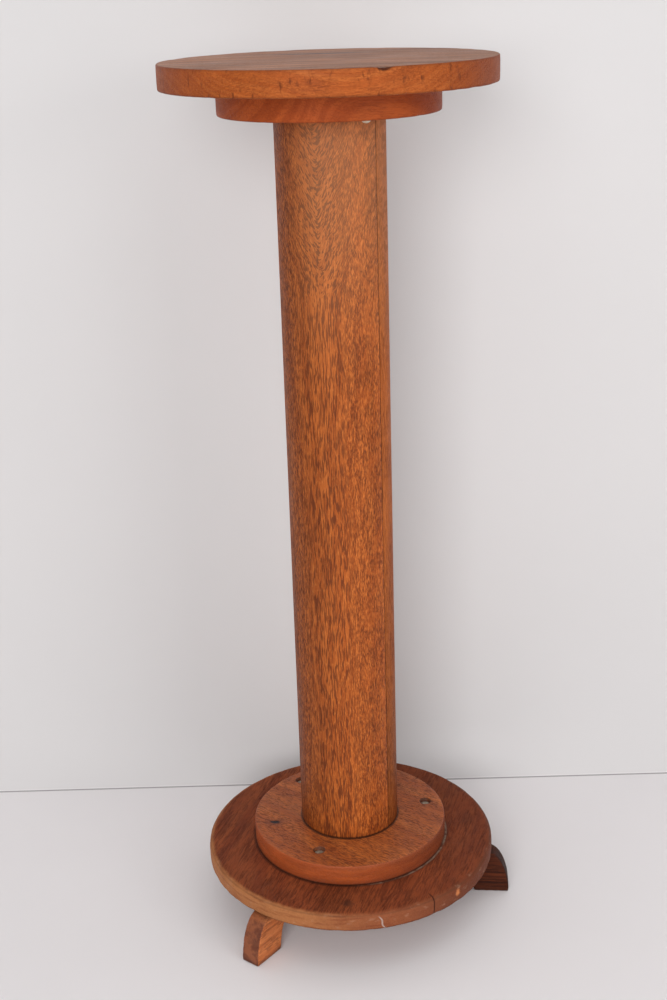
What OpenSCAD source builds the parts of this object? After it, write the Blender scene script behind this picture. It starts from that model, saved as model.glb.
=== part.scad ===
// Sculptor's floor stand with a revolving top: three splayed feet, a round base, a laminated
// round column and a round work table that turns on a ball thrust bearing.
// Millimetres, +Z up. The origin is on the floor, on the axis that the table turns about.
// The front is -Y. Directions round the stand are degrees from the front towards +X.

/* [Table] */
// Diameter of the revolving top disc
top_d = 305; // [290:1:360]
// Thickness of the top disc
top_t = 23; // [20:1:32]
// Diameter of the two flanges, under the top disc and under the column
flange_d = 203; // [190:1:230]
// Thickness of the upper flange
upper_flange_t = 24; // [23:1:32]

/* [Column] */
// Diameter of the column
column_d = 102; // [98:1:120]
// Length of the column
column_l = 726; // [300:1:900]
// Thickness of the middle board of the three that are glued face to face
core_board_t = 41; // [36:1:50]
// Direction that the front board faces
column_turn = -13.6; // [-45:0.1:45]
// Open gap between the column's end and the turning flange
table_gap = 2; // [1:0.5:4]

/* [Base] */
// Thickness of the lower flange
lower_flange_t = 22; // [20:1:30]
// Diameter of the base disc
base_d = 303; // [296:1:340]
// Thickness of the base disc
base_t = 19; // [18:1:28]

/* [Feet] */
// Height of a foot
foot_h = 48; // [46:1:60]
// Width of a foot
foot_w = 21; // [18:1:30]
// Length of the part of a foot that stands on the floor
foot_sole_l = 37.5; // [34:0.5:44]
// Distance from the stand's axis to the outer end of a foot
foot_reach = 170; // [168:1:180]
// How far the rounded outer end of a foot leans in by its top
foot_lean = 23.5; // [20:0.5:28]
// Radius of the hollow inner side of a foot
foot_hollow_r = 65; // [62:1:90]
// Directions of the front, right and rear feet
foot_turns = [-38, 85, 203.5];

/* [Pivot] */
// Diameter of the steel stud that the table turns on
stud_d = 16; // [14:1:18]
// Diameter of the steel plate let into the column's end
plate_d = 80; // [78:1:84]
// Thickness of the steel plate
plate_t = 6; // [5:0.5:8]
// Number of balls in the thrust bearing
ball_count = 15; // [8:1:15]
// Diameter of a ball
ball_d = 6; // [5.6:0.1:6.2]
// Radial clearance between the bush and the stud
running_gap = 0.04; // [0.02:0.01:0.08]

/* [Screws] */
// Radius of the circle of screws in the upper flange
upper_screw_r = 83; // [70:1:88]
// Directions of the three lower flange screws, marked out by eye
lower_screw_turns = [-25, 102, 218];
// Distance of each lower flange screw from the stand's axis
lower_screw_rs = [77, 84, 86];
// Direction of the first upper flange screw
upper_screw_turn = 22; // [-180:1:180]
// Radius of the circle of screws in each end of the column
column_screw_r = 31; // [30:0.5:34]

/* [Hidden] */
$fn = 96;
fit_gap = 0.05;         // clearance round a part that is fixed in a hole
cut = 1;                // how far a cutting shape runs past a surface

// Heights of the faces that the parts meet on
base_z = foot_h;
lower_flange_z = base_z + base_t;
column_z = lower_flange_z + lower_flange_t;
column_top = column_z + column_l;
upper_flange_z = column_top + table_gap;
top_z = upper_flange_z + upper_flange_t;
table_h = top_z + top_t;

// Softened edges
top_edge_r = 1.2;
flange_edge_r = 1.2;
base_edge_r = 5;
under_edge_r = 1;

// Ball thrust bearing: two grooved races with a cage of balls between them
bearing_h = 11;
bearing_d = 47;
race_t = 3.2;
upper_race_bore = 30.1;
lower_race_bore = 32;
ball_circle_d = 38.5;
groove_gap = 0.02;
cage_t = 2.4;
cage_in_d = 30.6;
cage_out_d = 46.4;
pocket_gap = 0.05;

// Plate, recesses and stud
bearing_in_flange = 4;
plate_top = upper_flange_z + bearing_in_flange - bearing_h;
boss_h = 3;
plate_recess_gap = 0.2;
stud_below_plate = 40;
stud_above_flange = 7;
stud_top = top_z + stud_above_flange;
stud_bottom = plate_top - plate_t - stud_below_plate;
stud_chamfer = 1.5;
bearing_mid = plate_top + bearing_h / 2;

// Bush, washer, nut and split pin
bush_d = 24;
bush_head_d = 30;
bush_head_h = 3;
washer_recess_d = 40;
washer_recess_h = 8;
washer_z = top_z - washer_recess_h + 0.25;
washer_d = 34;
washer_t = 2;
end_float = 0.05;
nut_across = 24;
nut_h = 10;
nut_slot_w = 3.4;
nut_slot_h = 4;
nut_z = washer_z + washer_t;
pin_d = 3;
pin_l = 32;
pin_z = nut_z + nut_h - nut_slot_h / 2;
nut_pocket_d = 46;
nut_pocket_h = 10;

// Wood screws: [length, shank diameter, head diameter, head height]
top_screw = [38, 4.8, 9, 3.4];
flange_screw = [34, 5, 10.6, 3.2];
plate_screw = [36, 4.8, 9, 2.8];
column_screw = [76, 6, 12, 3.6];
long_foot_screw = [57, 5, 9.4, 2.8];
short_foot_screw = [22, 4.2, 8, 2.4];
flange_screw_well_d = 12;
flange_screw_well_h = 4.2;
foot_screw_well = 6;
long_foot_screw_r = 139.5;
short_foot_screw_r = 122;
short_foot_screw_z = 39;
slot_w = 1.3;
slot_deep = 1.3;
screw_tip = 8;

// ---- shared shapes ----

// Places its children, which are made facing the front, in direction turn at radius r
module at_turn(turn, r = 0) {
  rotate([0, 0, turn]) translate([0, -r, 0]) children();
}

// Repeats its children count times round the axis, the first in direction turn
module ring_of(count, turn, r) {
  for (i = [0 : count - 1]) at_turn(turn + i * 360 / count, r) children();
}

// A disc whose upper and lower edges are rounded
module soft_disc(d, h, upper_r, lower_r) {
  rotate_extrude() difference() {
    square([d / 2, h]);
    translate([d / 2 - upper_r, h - upper_r]) difference() {
      square(upper_r + cut);
      circle(upper_r);
    }
    translate([d / 2 - lower_r, -cut]) difference() {
      square(lower_r + cut);
      translate([0, lower_r + cut]) circle(lower_r);
    }
  }
}

// Half outline of a countersunk screw, its head's rim at z = 0 and its point below, grown by gap
module flat_screw_outline(s, gap, above) {
  r = s[1] / 2 + gap;
  head_r = s[2] / 2 + gap;
  polygon([[0, above], [head_r, above], [head_r, -0.4], [r, -s[3] - gap],
           [r, screw_tip - s[0]], [0, -s[0] - gap]]);
}

module screw_slot(s, head_top) {
  translate([-s[2], -slot_w / 2, head_top - slot_deep]) cube([2 * s[2], slot_w, slot_deep + cut]);
}

module flat_screw(s) {
  difference() {
    rotate_extrude() flat_screw_outline(s, 0, 0);
    screw_slot(s, 0);
  }
}

// Countersunk screw whose head is slightly domed
module oval_screw(s, dome_h) {
  dome_r = (dome_h * dome_h + s[2] * s[2] / 4) / (2 * dome_h);
  difference() {
    rotate_extrude() union() {
      flat_screw_outline(s, 0, 0);
      intersection() {
        translate([0, dome_h - dome_r]) circle(dome_r);
        square([s[2] / 2, dome_h]);
      }
    }
    screw_slot(s, dome_h);
  }
}

// Screw with a domed head that stands on the surface at z = 0
module round_screw(s) {
  dome_r = (s[3] * s[3] + s[2] * s[2] / 4) / (2 * s[3]);
  difference() {
    rotate_extrude() union() {
      round_screw_shank(s, 0);
      intersection() {
        translate([0, s[3] - dome_r]) circle(dome_r);
        square([s[2] / 2, s[3]]);
      }
    }
    screw_slot(s, s[3]);
  }
}

module round_screw_shank(s, gap) {
  r = s[1] / 2 + gap;
  polygon([[0, gap], [r, gap], [r, screw_tip - s[0]], [0, -s[0] - gap]]);
}

module flat_screw_hole(s) {
  rotate_extrude() flat_screw_outline(s, fit_gap, fit_gap);
}

module round_screw_hole(s) {
  rotate_extrude() round_screw_shank(s, fit_gap);
}

// ---- where each set of screws goes ----

module place_top_screws() {
  ring_of(3, upper_screw_turn, upper_screw_r) translate([0, 0, upper_flange_z])
    mirror([0, 0, 1]) children();
}

module place_flange_screws() {
  for (i = [0 : 2]) at_turn(lower_screw_turns[i], lower_screw_rs[i])
    translate([0, 0, column_z - flange_screw_well_h]) children();
}

module place_plate_screws() {
  ring_of(4, column_turn, column_screw_r) translate([0, 0, plate_top]) children();
}

module place_column_screws() {
  ring_of(4, column_turn, column_screw_r) translate([0, 0, lower_flange_z])
    mirror([0, 0, 1]) children();
}

module place_long_foot_screws() {
  for (turn = foot_turns) at_turn(turn, long_foot_screw_r)
    translate([0, 0, foot_screw_well]) mirror([0, 0, 1]) children();
}

module place_short_foot_screws() {
  for (turn = foot_turns) at_turn(turn, short_foot_screw_r)
    translate([0, 0, short_foot_screw_z]) mirror([0, 0, 1]) children();
}

// ---- turning table ----

module top_disc() {
  color([0.62, 0.35, 0.2]) difference() {
    translate([0, 0, top_z]) soft_disc(top_d, top_t, top_edge_r, under_edge_r);
    translate([0, 0, top_z - cut]) cylinder(d = nut_pocket_d, h = nut_pocket_h + cut);
    place_top_screws() round_screw_hole(top_screw);
  }
}

module upper_flange() {
  color([0.58, 0.27, 0.14]) difference() {
    translate([0, 0, upper_flange_z]) soft_disc(flange_d, upper_flange_t, under_edge_r, under_edge_r);
    translate([0, 0, upper_flange_z - cut])
      cylinder(d = bearing_d + 1, h = bearing_in_flange + cut);
    translate([0, 0, upper_flange_z]) cylinder(d = bush_d + 2 * fit_gap, h = upper_flange_t);
    translate([0, 0, top_z - washer_recess_h])
      cylinder(d = washer_recess_d, h = washer_recess_h + cut);
    place_top_screws() round_screw_hole(top_screw);
  }
}

module top_screws() {
  color([0.7, 0.68, 0.62]) place_top_screws() round_screw(top_screw);
}

// Flanged bush: its head centres the upper race, its body sits in the upper flange
module pivot_bush() {
  head_z = upper_flange_z + bearing_in_flange - bush_head_h;
  color([0.72, 0.52, 0.26]) difference() {
    union() {
      translate([0, 0, head_z]) cylinder(d = bush_head_d, h = bush_head_h);
      translate([0, 0, head_z]) cylinder(d = bush_d, h = washer_z - end_float - head_z);
    }
    translate([0, 0, head_z - cut])
      cylinder(d = stud_d + 2 * running_gap, h = upper_flange_t);
  }
}

// ---- thrust bearing ----

module groove() {
  translate([0, 0, bearing_mid]) rotate_extrude()
    translate([ball_circle_d / 2, 0]) circle(ball_d / 2 + groove_gap);
}

module race(z, bore_d) {
  color([0.75, 0.76, 0.78]) difference() {
    translate([0, 0, z]) cylinder(d = bearing_d, h = race_t);
    translate([0, 0, z - cut]) cylinder(d = bore_d, h = race_t + 2 * cut);
    groove();
  }
}

module upper_race() {
  race(plate_top + bearing_h - race_t, upper_race_bore);
}

module lower_race() {
  race(plate_top, lower_race_bore);
}

module ball_cage() {
  color([0.7, 0.55, 0.3]) difference() {
    translate([0, 0, bearing_mid - cage_t / 2]) cylinder(d = cage_out_d, h = cage_t);
    translate([0, 0, bearing_mid - cage_t]) cylinder(d = cage_in_d, h = 2 * cage_t);
    ring_of(ball_count, 0, ball_circle_d / 2)
      translate([0, 0, bearing_mid - cage_t]) cylinder(d = ball_d + 2 * pocket_gap, h = 2 * cage_t);
  }
}

module bearing_balls() {
  color([0.85, 0.86, 0.88])
    ring_of(ball_count, 0, ball_circle_d / 2) translate([0, 0, bearing_mid]) sphere(d = ball_d);
}

// ---- pivot fixed to the column ----

// Steel plate let into the column's end, with a boss that centres the lower race
module pivot_plate() {
  color([0.45, 0.46, 0.48]) difference() {
    union() {
      translate([0, 0, plate_top - plate_t]) cylinder(d = plate_d, h = plate_t);
      translate([0, 0, plate_top]) cylinder(d = lower_race_bore - 2 * fit_gap, h = boss_h);
    }
    translate([0, 0, plate_top - plate_t - cut])
      cylinder(d = stud_d + 2 * fit_gap, h = plate_t + boss_h + 2 * cut);
    place_plate_screws() flat_screw_hole(plate_screw);
  }
}

module pivot_plate_screws() {
  color([0.6, 0.6, 0.6]) place_plate_screws() flat_screw(plate_screw);
}

// Stud welded into the plate, drilled across its threaded end for the split pin
module pivot_stud() {
  color([0.6, 0.61, 0.63]) difference() {
    union() {
      translate([0, 0, stud_bottom]) cylinder(d = stud_d, h = stud_top - stud_chamfer - stud_bottom);
      translate([0, 0, stud_top - stud_chamfer])
        cylinder(d1 = stud_d, d2 = stud_d - 2 * stud_chamfer, h = stud_chamfer);
    }
    translate([-stud_d, 0, pin_z]) rotate([0, 90, 0]) cylinder(d = pin_d + 2 * fit_gap, h = 2 * stud_d);
  }
}

module retaining_washer() {
  color([0.7, 0.7, 0.7]) translate([0, 0, washer_z]) difference() {
    cylinder(d = washer_d, h = washer_t);
    translate([0, 0, -cut]) cylinder(d = stud_d + 0.6, h = washer_t + 2 * cut);
  }
}

module castle_nut() {
  across_corners = nut_across / cos(30);
  color([0.62, 0.62, 0.63]) translate([0, 0, nut_z]) difference() {
    cylinder(d = across_corners, h = nut_h, $fn = 6);
    translate([0, 0, -cut]) cylinder(d = stud_d + 2 * fit_gap, h = nut_h + 2 * cut);
    for (i = [0 : 2]) rotate([0, 0, 60 * i])
      translate([-nut_across, -nut_slot_w / 2, nut_h - nut_slot_h])
        cube([2 * nut_across, nut_slot_w, nut_slot_h + cut]);
  }
}

// Split pin: a straight shank through the nut's slots, an eye, and one leg turned up
module split_pin() {
  leg_h = 4;
  color([0.7, 0.7, 0.68]) translate([0, 0, pin_z]) {
    translate([-pin_l / 2, 0, 0]) rotate([0, 90, 0]) cylinder(d = pin_d, h = pin_l);
    translate([pin_l / 2, 0, 0]) sphere(d = pin_d + 1);
    translate([-pin_l / 2 + pin_d / 2, 0, 0]) cylinder(d = pin_d - 0.4, h = leg_h);
  }
}

// ---- column ----

// The part of the column from back_y to front_y along the direction its front board faces
module column_slice(back_y, front_y) {
  color([0.78, 0.45, 0.2]) difference() {
    intersection() {
      translate([0, 0, column_z]) cylinder(d = column_d, h = column_l);
      rotate([0, 0, column_turn]) translate([-column_d, -front_y, column_z])
        cube([2 * column_d, front_y - back_y, column_l]);
    }
    translate([0, 0, plate_top - plate_t])
      cylinder(d = plate_d + plate_recess_gap, h = column_top - plate_top + plate_t + cut);
    translate([0, 0, stud_bottom - cut])
      cylinder(d = stud_d + 2 * fit_gap, h = stud_below_plate + plate_t + cut);
    place_plate_screws() flat_screw_hole(plate_screw);
    place_column_screws() flat_screw_hole(column_screw);
  }
}

module column_front_board() {
  column_slice(core_board_t / 2, column_d / 2 + cut);
}

module column_core_board() {
  column_slice(-core_board_t / 2, core_board_t / 2);
}

module column_back_board() {
  column_slice(-column_d / 2 - cut, -core_board_t / 2);
}

module column_screws() {
  color([0.5, 0.5, 0.5]) place_column_screws() flat_screw(column_screw);
}

// ---- base ----

module lower_flange() {
  color([0.7, 0.36, 0.17]) difference() {
    translate([0, 0, lower_flange_z]) soft_disc(flange_d, lower_flange_t, flange_edge_r, under_edge_r);
    place_flange_screws() {
      flat_screw_hole(flange_screw);
      cylinder(d = flange_screw_well_d, h = flange_screw_well_h + cut);
    }
    place_column_screws() flat_screw_hole(column_screw);
  }
}

module flange_screws() {
  color([0.68, 0.65, 0.58]) place_flange_screws() oval_screw(flange_screw, 1.4);
}

module base_disc() {
  color([0.48, 0.22, 0.12]) difference() {
    translate([0, 0, base_z]) soft_disc(base_d, base_t, base_edge_r, under_edge_r);
    place_flange_screws() flat_screw_hole(flange_screw);
    place_long_foot_screws() flat_screw_hole(long_foot_screw);
    place_short_foot_screws() flat_screw_hole(short_foot_screw);
  }
}

// ---- feet ----

// Side view of a foot: x is the distance from the stand's axis, y the height.
// The outer end is a quarter of an ellipse, the inner side an arc, so the leg curves in as it rises.
module foot_outline() {
  steps = 20;
  outer = [for (i = [0 : steps])
    [foot_reach - foot_lean * (1 - cos(90 * i / steps)), foot_h * sin(90 * i / steps)]];
  heel = foot_reach - foot_sole_l;
  inner = [for (i = [steps : -1 : 0]) let (y = foot_h * i / steps)
    [heel - foot_hollow_r + sqrt(foot_hollow_r * foot_hollow_r - y * y), y]];
  polygon(concat(outer, inner));
}

module foot(turn) {
  color([0.5, 0.24, 0.13]) difference() {
    rotate([0, 0, turn - 90]) rotate([90, 0, 0])
      linear_extrude(height = foot_w, center = true) foot_outline();
    place_long_foot_screws() {
      flat_screw_hole(long_foot_screw);
      cylinder(d = long_foot_screw[2] + 1, h = foot_screw_well + cut);
    }
    place_short_foot_screws() {
      flat_screw_hole(short_foot_screw);
      cylinder(d = short_foot_screw[2] + 1, h = foot_h);
    }
  }
}

module front_foot() {
  foot(foot_turns[0]);
}

module right_foot() {
  foot(foot_turns[1]);
}

module rear_foot() {
  foot(foot_turns[2]);
}

module long_foot_screws() {
  color([0.55, 0.54, 0.52]) place_long_foot_screws() flat_screw(long_foot_screw);
}

module short_foot_screws() {
  color([0.55, 0.54, 0.52]) place_short_foot_screws() flat_screw(short_foot_screw);
}

top_disc();
upper_flange();
top_screws();
pivot_bush();
upper_race();
ball_cage();
bearing_balls();
lower_race();
pivot_plate();
pivot_plate_screws();
pivot_stud();
retaining_washer();
castle_nut();
split_pin();
column_front_board();
column_core_board();
column_back_board();
column_screws();
lower_flange();
flange_screws();
base_disc();
front_foot();
right_foot();
rear_foot();
long_foot_screws();
short_foot_screws();
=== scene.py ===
"""Sculptor's revolving stand in worn oak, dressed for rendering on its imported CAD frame."""
import math

import bmesh
import bpy
from mathutils import Matrix, Vector, noise


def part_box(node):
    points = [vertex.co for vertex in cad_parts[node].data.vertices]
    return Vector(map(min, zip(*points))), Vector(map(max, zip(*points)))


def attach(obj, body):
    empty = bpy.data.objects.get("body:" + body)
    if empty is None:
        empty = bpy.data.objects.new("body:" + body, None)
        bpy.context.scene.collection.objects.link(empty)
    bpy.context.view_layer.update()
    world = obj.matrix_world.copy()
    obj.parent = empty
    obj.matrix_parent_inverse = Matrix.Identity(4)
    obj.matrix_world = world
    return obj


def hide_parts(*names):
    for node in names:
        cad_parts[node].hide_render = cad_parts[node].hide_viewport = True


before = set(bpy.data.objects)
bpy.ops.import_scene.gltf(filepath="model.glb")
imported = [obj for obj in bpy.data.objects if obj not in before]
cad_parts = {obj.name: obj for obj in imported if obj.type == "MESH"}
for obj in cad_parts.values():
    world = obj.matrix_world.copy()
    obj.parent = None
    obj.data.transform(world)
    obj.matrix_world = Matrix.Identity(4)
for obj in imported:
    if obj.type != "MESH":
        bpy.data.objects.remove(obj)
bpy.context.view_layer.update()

MM = 0.001
SAME_PLACE = 1e-6  # points closer than a micrometre are one point

# Directions round the stand are degrees from the front (-Y) towards +X, as in the CAD source.
COLUMN_TURN = -13.6
GLUE_LINE = 20.5 * MM  # the column's two glue lines, measured from its axis
TOP_CHIP_TURN = 17.0
TOP_NOTCH_TURN = 25.0
BASE_CRACK_TURN = 32.4
BASE_CHIP_TURN = 45.0
BASE_STAIN_TURN = -2.0
BASE_SCUFF_TURN = 11.0
KNOT_TURN = -79.0
KNOT_R = 81 * MM
FOOT_TURNS = {"front_foot": -38.0, "right_foot": 85.0, "rear_foot": 203.5}

CAMERA_PLACE = (0.0, -1.3382, 0.9374)
CAMERA_YAW, CAMERA_PITCH, CAMERA_ROLL = -0.00524, 0.35221, -0.03116
CAMERA_LENS = 51.99
CAMERA_SENSOR_HEIGHT = 36.0


def bearing(turn):
    """Unit vector of a direction round the stand."""
    a = math.radians(turn)
    return Vector((math.sin(a), -math.cos(a), 0.0))


def spot(turn, radius, height):
    """Point at a direction, a distance from the axis and a height, in metres."""
    p = bearing(turn) * radius
    p.z = height
    return p


def radius_of(node):
    low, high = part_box(node)
    return (high.x - low.x) / 2


def reach_of(node):
    """Distance from the axis to the node's furthest point."""
    return max(math.hypot(v.co.x, v.co.y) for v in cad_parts[node].data.vertices)


TOP_R = radius_of("top_disc")
TOP_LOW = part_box("top_disc")[0].z
TOP_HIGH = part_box("top_disc")[1].z
UPPER_R = radius_of("upper_flange")
UPPER_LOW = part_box("upper_flange")[0].z
COLUMN_R = reach_of("column_core_board")
COLUMN_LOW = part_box("column_core_board")[0].z
COLUMN_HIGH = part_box("column_core_board")[1].z
LOWER_R = radius_of("lower_flange")
LOWER_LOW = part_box("lower_flange")[0].z
BASE_R = radius_of("base_disc")
BASE_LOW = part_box("base_disc")[0].z
BASE_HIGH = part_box("base_disc")[1].z


# ---- geometry ----


def hill(value, centre, width):
    """1 at the centre, falling smoothly to 0 a few widths away."""
    return math.exp(-(((value - centre) / width) ** 2))


def rough(point, size, seed):
    """Smooth unevenness between about -1 and 1, with lumps about size metres across."""
    return noise.noise(point / size + Vector((seed * 7.31, seed * 3.17, seed * 5.73)))


def angle_from(turn, goal):
    return (turn - goal + 180) % 360 - 180


def screw_places(node):
    """The middle of each separate screw in a node."""
    apart = 16 * MM
    groups = []
    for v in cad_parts[node].data.vertices:
        for group in groups:
            if math.hypot(v.co.x - group[0].x, v.co.y - group[0].y) < apart:
                group.append(v.co)
                break
        else:
            groups.append([v.co])
    return [sum(group, Vector()) / len(group) for group in groups]


def clean_copy(node):
    """A closed bmesh of a CAD node, without the importer's split edges."""
    bm = bmesh.new()
    bm.from_mesh(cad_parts[node].data)
    bmesh.ops.remove_doubles(bm, verts=bm.verts, dist=1e-7)
    return bm


def new_object(name, bm):
    mesh = bpy.data.meshes.new(name)
    bm.to_mesh(mesh)
    bm.free()
    obj = bpy.data.objects.new(name, mesh)
    bpy.context.scene.collection.objects.link(obj)
    return obj


def bake(obj):
    """Replaces the object's mesh by the result of its modifiers."""
    graph = bpy.context.evaluated_depsgraph_get()
    mesh = bpy.data.meshes.new_from_object(obj.evaluated_get(graph), depsgraph=graph)
    obj.modifiers.clear()
    old = obj.data
    obj.data = mesh
    bpy.data.meshes.remove(old)


def combine(obj, other, operation):
    """Boolean of two closed meshes; the second one is used up."""
    modifier = obj.modifiers.new("cut", "BOOLEAN")
    modifier.operation = operation
    modifier.solver = "MANIFOLD"
    modifier.object = other
    bake(obj)
    mesh = other.data
    bpy.data.objects.remove(other)
    bpy.data.meshes.remove(mesh)


def drop_slivers(obj):
    """Splits the mesh into triangles, and removes those without area that a boolean leaves."""
    bm = bmesh.new()
    bm.from_mesh(obj.data)
    for _ in range(2):
        bmesh.ops.triangulate(bm, faces=bm.faces)
        bmesh.ops.dissolve_degenerate(bm, dist=SAME_PLACE, edges=bm.edges)
    bmesh.ops.triangulate(bm, faces=bm.faces)
    bm.to_mesh(obj.data)
    bm.free()


def finish_mesh(obj, sharp_degrees):
    for layer in list(obj.data.uv_layers):
        obj.data.uv_layers.remove(layer)
    obj.data.materials.clear()
    obj.data.shade_smooth()
    obj.data.set_sharp_from_angle(angle=math.radians(sharp_degrees))


def turned_skin(name, outline, turns, sink):
    """Closed surface of revolution. Each outline point is (radius, height, outward radius, outward height);
    sink(turn, point) says how far the worn surface lies inside it."""
    bm = bmesh.new()
    rings = []
    for radius, height, out_r, out_h in outline:
        if radius < 1e-6:
            rings.append([bm.verts.new((0, 0, height))])
            continue
        ring = []
        for turn in turns:
            d = bearing(turn)
            p = d * radius
            p.z = height
            depth = sink(turn, p)
            ring.append(bm.verts.new(p - (d * out_r + Vector((0, 0, out_h))) * depth))
        rings.append(ring)
    count = len(turns)
    for upper, lower in zip(rings, rings[1:]):
        for i in range(count):
            j = (i + 1) % count
            if len(upper) == 1:
                bm.faces.new((upper[0], lower[i], lower[j]))
            elif len(lower) == 1:
                bm.faces.new((upper[i], lower[0], upper[j]))
            else:
                bm.faces.new((upper[i], lower[i], lower[j], upper[j]))
    bmesh.ops.recalc_face_normals(bm, faces=bm.faces)
    return new_object(name, bm)


def disc_outline(radius, low, high, upper_round, lower_round, inner_rings, side_rings):
    """Half outline of a disc from the middle of its top round to the middle of its underside."""
    points = [(0.0, high, 0.0, 1.0)]
    for i in range(1, inner_rings + 1):
        points.append(((radius - upper_round) * i / inner_rings, high, 0.0, 1.0))
    steps = 7
    for i in range(1, steps + 1):
        a = math.radians(90 * i / steps)
        points.append((radius - upper_round * (1 - math.sin(a)), high - upper_round * (1 - math.cos(a)),
                       math.sin(a), math.cos(a)))
    top, bottom = high - upper_round, low + lower_round
    for i in range(1, side_rings):
        points.append((radius, top + (bottom - top) * i / side_rings, 1.0, 0.0))
    for i in range(steps):
        a = math.radians(90 * i / steps)
        points.append((radius - lower_round * (1 - math.cos(a)), bottom - lower_round * math.sin(a),
                       math.cos(a), -math.sin(a)))
    for i in range(inner_rings, 0, -1):
        points.append(((radius - lower_round) * i / inner_rings, low, 0.0, -1.0))
    points.append((0.0, low, 0.0, -1.0))
    return points


def even_turns(count):
    return [360 * i / count for i in range(count)]


def stand_in(obj, node, body, material, sharp_degrees):
    """Puts a finished piece in the place of a CAD node, riding on its body."""
    finish_mesh(obj, sharp_degrees)
    obj.data.materials.append(material)
    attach(obj, body)
    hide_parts(node)


def worn_piece(node, skin, body, material, sharp_degrees=35, cutter=None):
    """The CAD node with its outside replaced by the worn skin: what lies inside both."""
    obj = new_object("worn_" + node, clean_copy(node))
    combine(obj, skin, "INTERSECT")
    if cutter:
        combine(obj, cutter, "DIFFERENCE")
    drop_slivers(obj)
    stand_in(obj, node, body, material, sharp_degrees)


def build_top(material):
    edge = 1.3 * MM

    def sink(turn, p):
        on_edge = hill(math.hypot(p.x, p.y), TOP_R, 3 * MM)
        at_top = hill(p.z, TOP_HIGH, 3 * MM) * on_edge
        at_foot = hill(p.z, TOP_LOW, 2.5 * MM) * on_edge
        depth = 0.12 * MM + 0.1 * MM * rough(p, 60 * MM, 1)
        depth += at_top * (0.2 + 0.5 * max(0.0, rough(p, 17 * MM, 2))) * MM
        depth += at_foot * (0.2 + 0.5 * max(0.0, rough(p, 11 * MM, 3))) * MM
        arc = math.radians(angle_from(turn, TOP_CHIP_TURN)) * TOP_R
        depth += at_top * 2.4 * MM * hill(arc, 0, 4.5 * MM) * (1 + 0.5 * rough(p, 2.5 * MM, 4))
        arc = math.radians(angle_from(turn, TOP_NOTCH_TURN)) * TOP_R
        depth += at_foot * 2.4 * MM * hill(arc, 0, 2.2 * MM)
        return max(depth, 0.02 * MM)

    outline = disc_outline(TOP_R, TOP_LOW - 0.02 * MM, TOP_HIGH, edge, 1.1 * MM, 16, 9)
    skin = turned_skin("skin", outline, even_turns(540), sink)
    worn_piece("top_disc", skin, "turntable", material)


def build_upper_flange(material):
    def sink(turn, p):
        rim = hill(math.hypot(p.x, p.y), UPPER_R, 3 * MM)
        low = hill(p.z, UPPER_LOW, 2 * MM) * rim
        depth = 0.08 * MM + 0.06 * MM * rough(p, 50 * MM, 11)
        depth += low * (0.3 + 0.4 * max(0.0, rough(p, 13 * MM, 12))) * MM
        return max(depth, 0.02 * MM)

    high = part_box("upper_flange")[1].z + 0.3 * MM
    outline = disc_outline(UPPER_R, UPPER_LOW, high, 1.0 * MM, 1.2 * MM, 10, 8)
    skin = turned_skin("skin", outline, even_turns(360), sink)
    worn_piece("upper_flange", skin, "turntable", material)


def build_lower_flange(material):
    def sink(turn, p):
        rim = hill(math.hypot(p.x, p.y), LOWER_R, 3 * MM)
        high = hill(p.z, COLUMN_LOW, 2.2 * MM) * rim
        depth = 0.08 * MM + 0.06 * MM * rough(p, 45 * MM, 21)
        depth += high * (0.25 + 0.5 * max(0.0, rough(p, 12 * MM, 22))) * MM
        knot = (p - spot(KNOT_TURN, KNOT_R, COLUMN_LOW)).length
        depth += 0.5 * MM * hill(knot, 0, 3 * MM)
        return max(depth, 0.02 * MM)

    low = LOWER_LOW - 0.3 * MM
    outline = disc_outline(LOWER_R, low, COLUMN_LOW, 1.4 * MM, 1.0 * MM, 26, 8)
    skin = turned_skin("skin", outline, even_turns(420), sink)
    worn_piece("lower_flange", skin, "stand", material)


def crack_cutter():
    """A thin jagged wedge, wide at the rim, that closes before it reaches the flange."""
    out = bearing(BASE_CRACK_TURN)
    side = Vector((-out.y, out.x, 0.0))
    bm = bmesh.new()
    rows = []
    steps = 12
    for i in range(steps + 1):
        f = i / steps
        z = BASE_LOW + 3 * MM + (BASE_HIGH + 1 * MM - BASE_LOW - 3 * MM) * f
        shift = 0.9 * MM * rough(Vector((0, 0, z)), 6 * MM, 31) + 1.2 * MM * f
        depth = (3.0 + 8.0 * f * f) * MM
        half = (0.4 + 0.15 * f) * MM
        mid = side * shift
        tip = out * (BASE_R - depth) + mid
        left = out * (BASE_R + 1 * MM) + mid - side * half
        right = out * (BASE_R + 1 * MM) + mid + side * half
        rows.append([bm.verts.new((q.x, q.y, z)) for q in (tip, left, right)])
    for a, b in zip(rows, rows[1:]):
        for i in range(3):
            j = (i + 1) % 3
            bm.faces.new((a[i], a[j], b[j], b[i]))
    bm.faces.new(rows[0])
    bm.faces.new(rows[-1])
    bmesh.ops.recalc_face_normals(bm, faces=bm.faces)
    return new_object("crack_cutter", bm)


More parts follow.
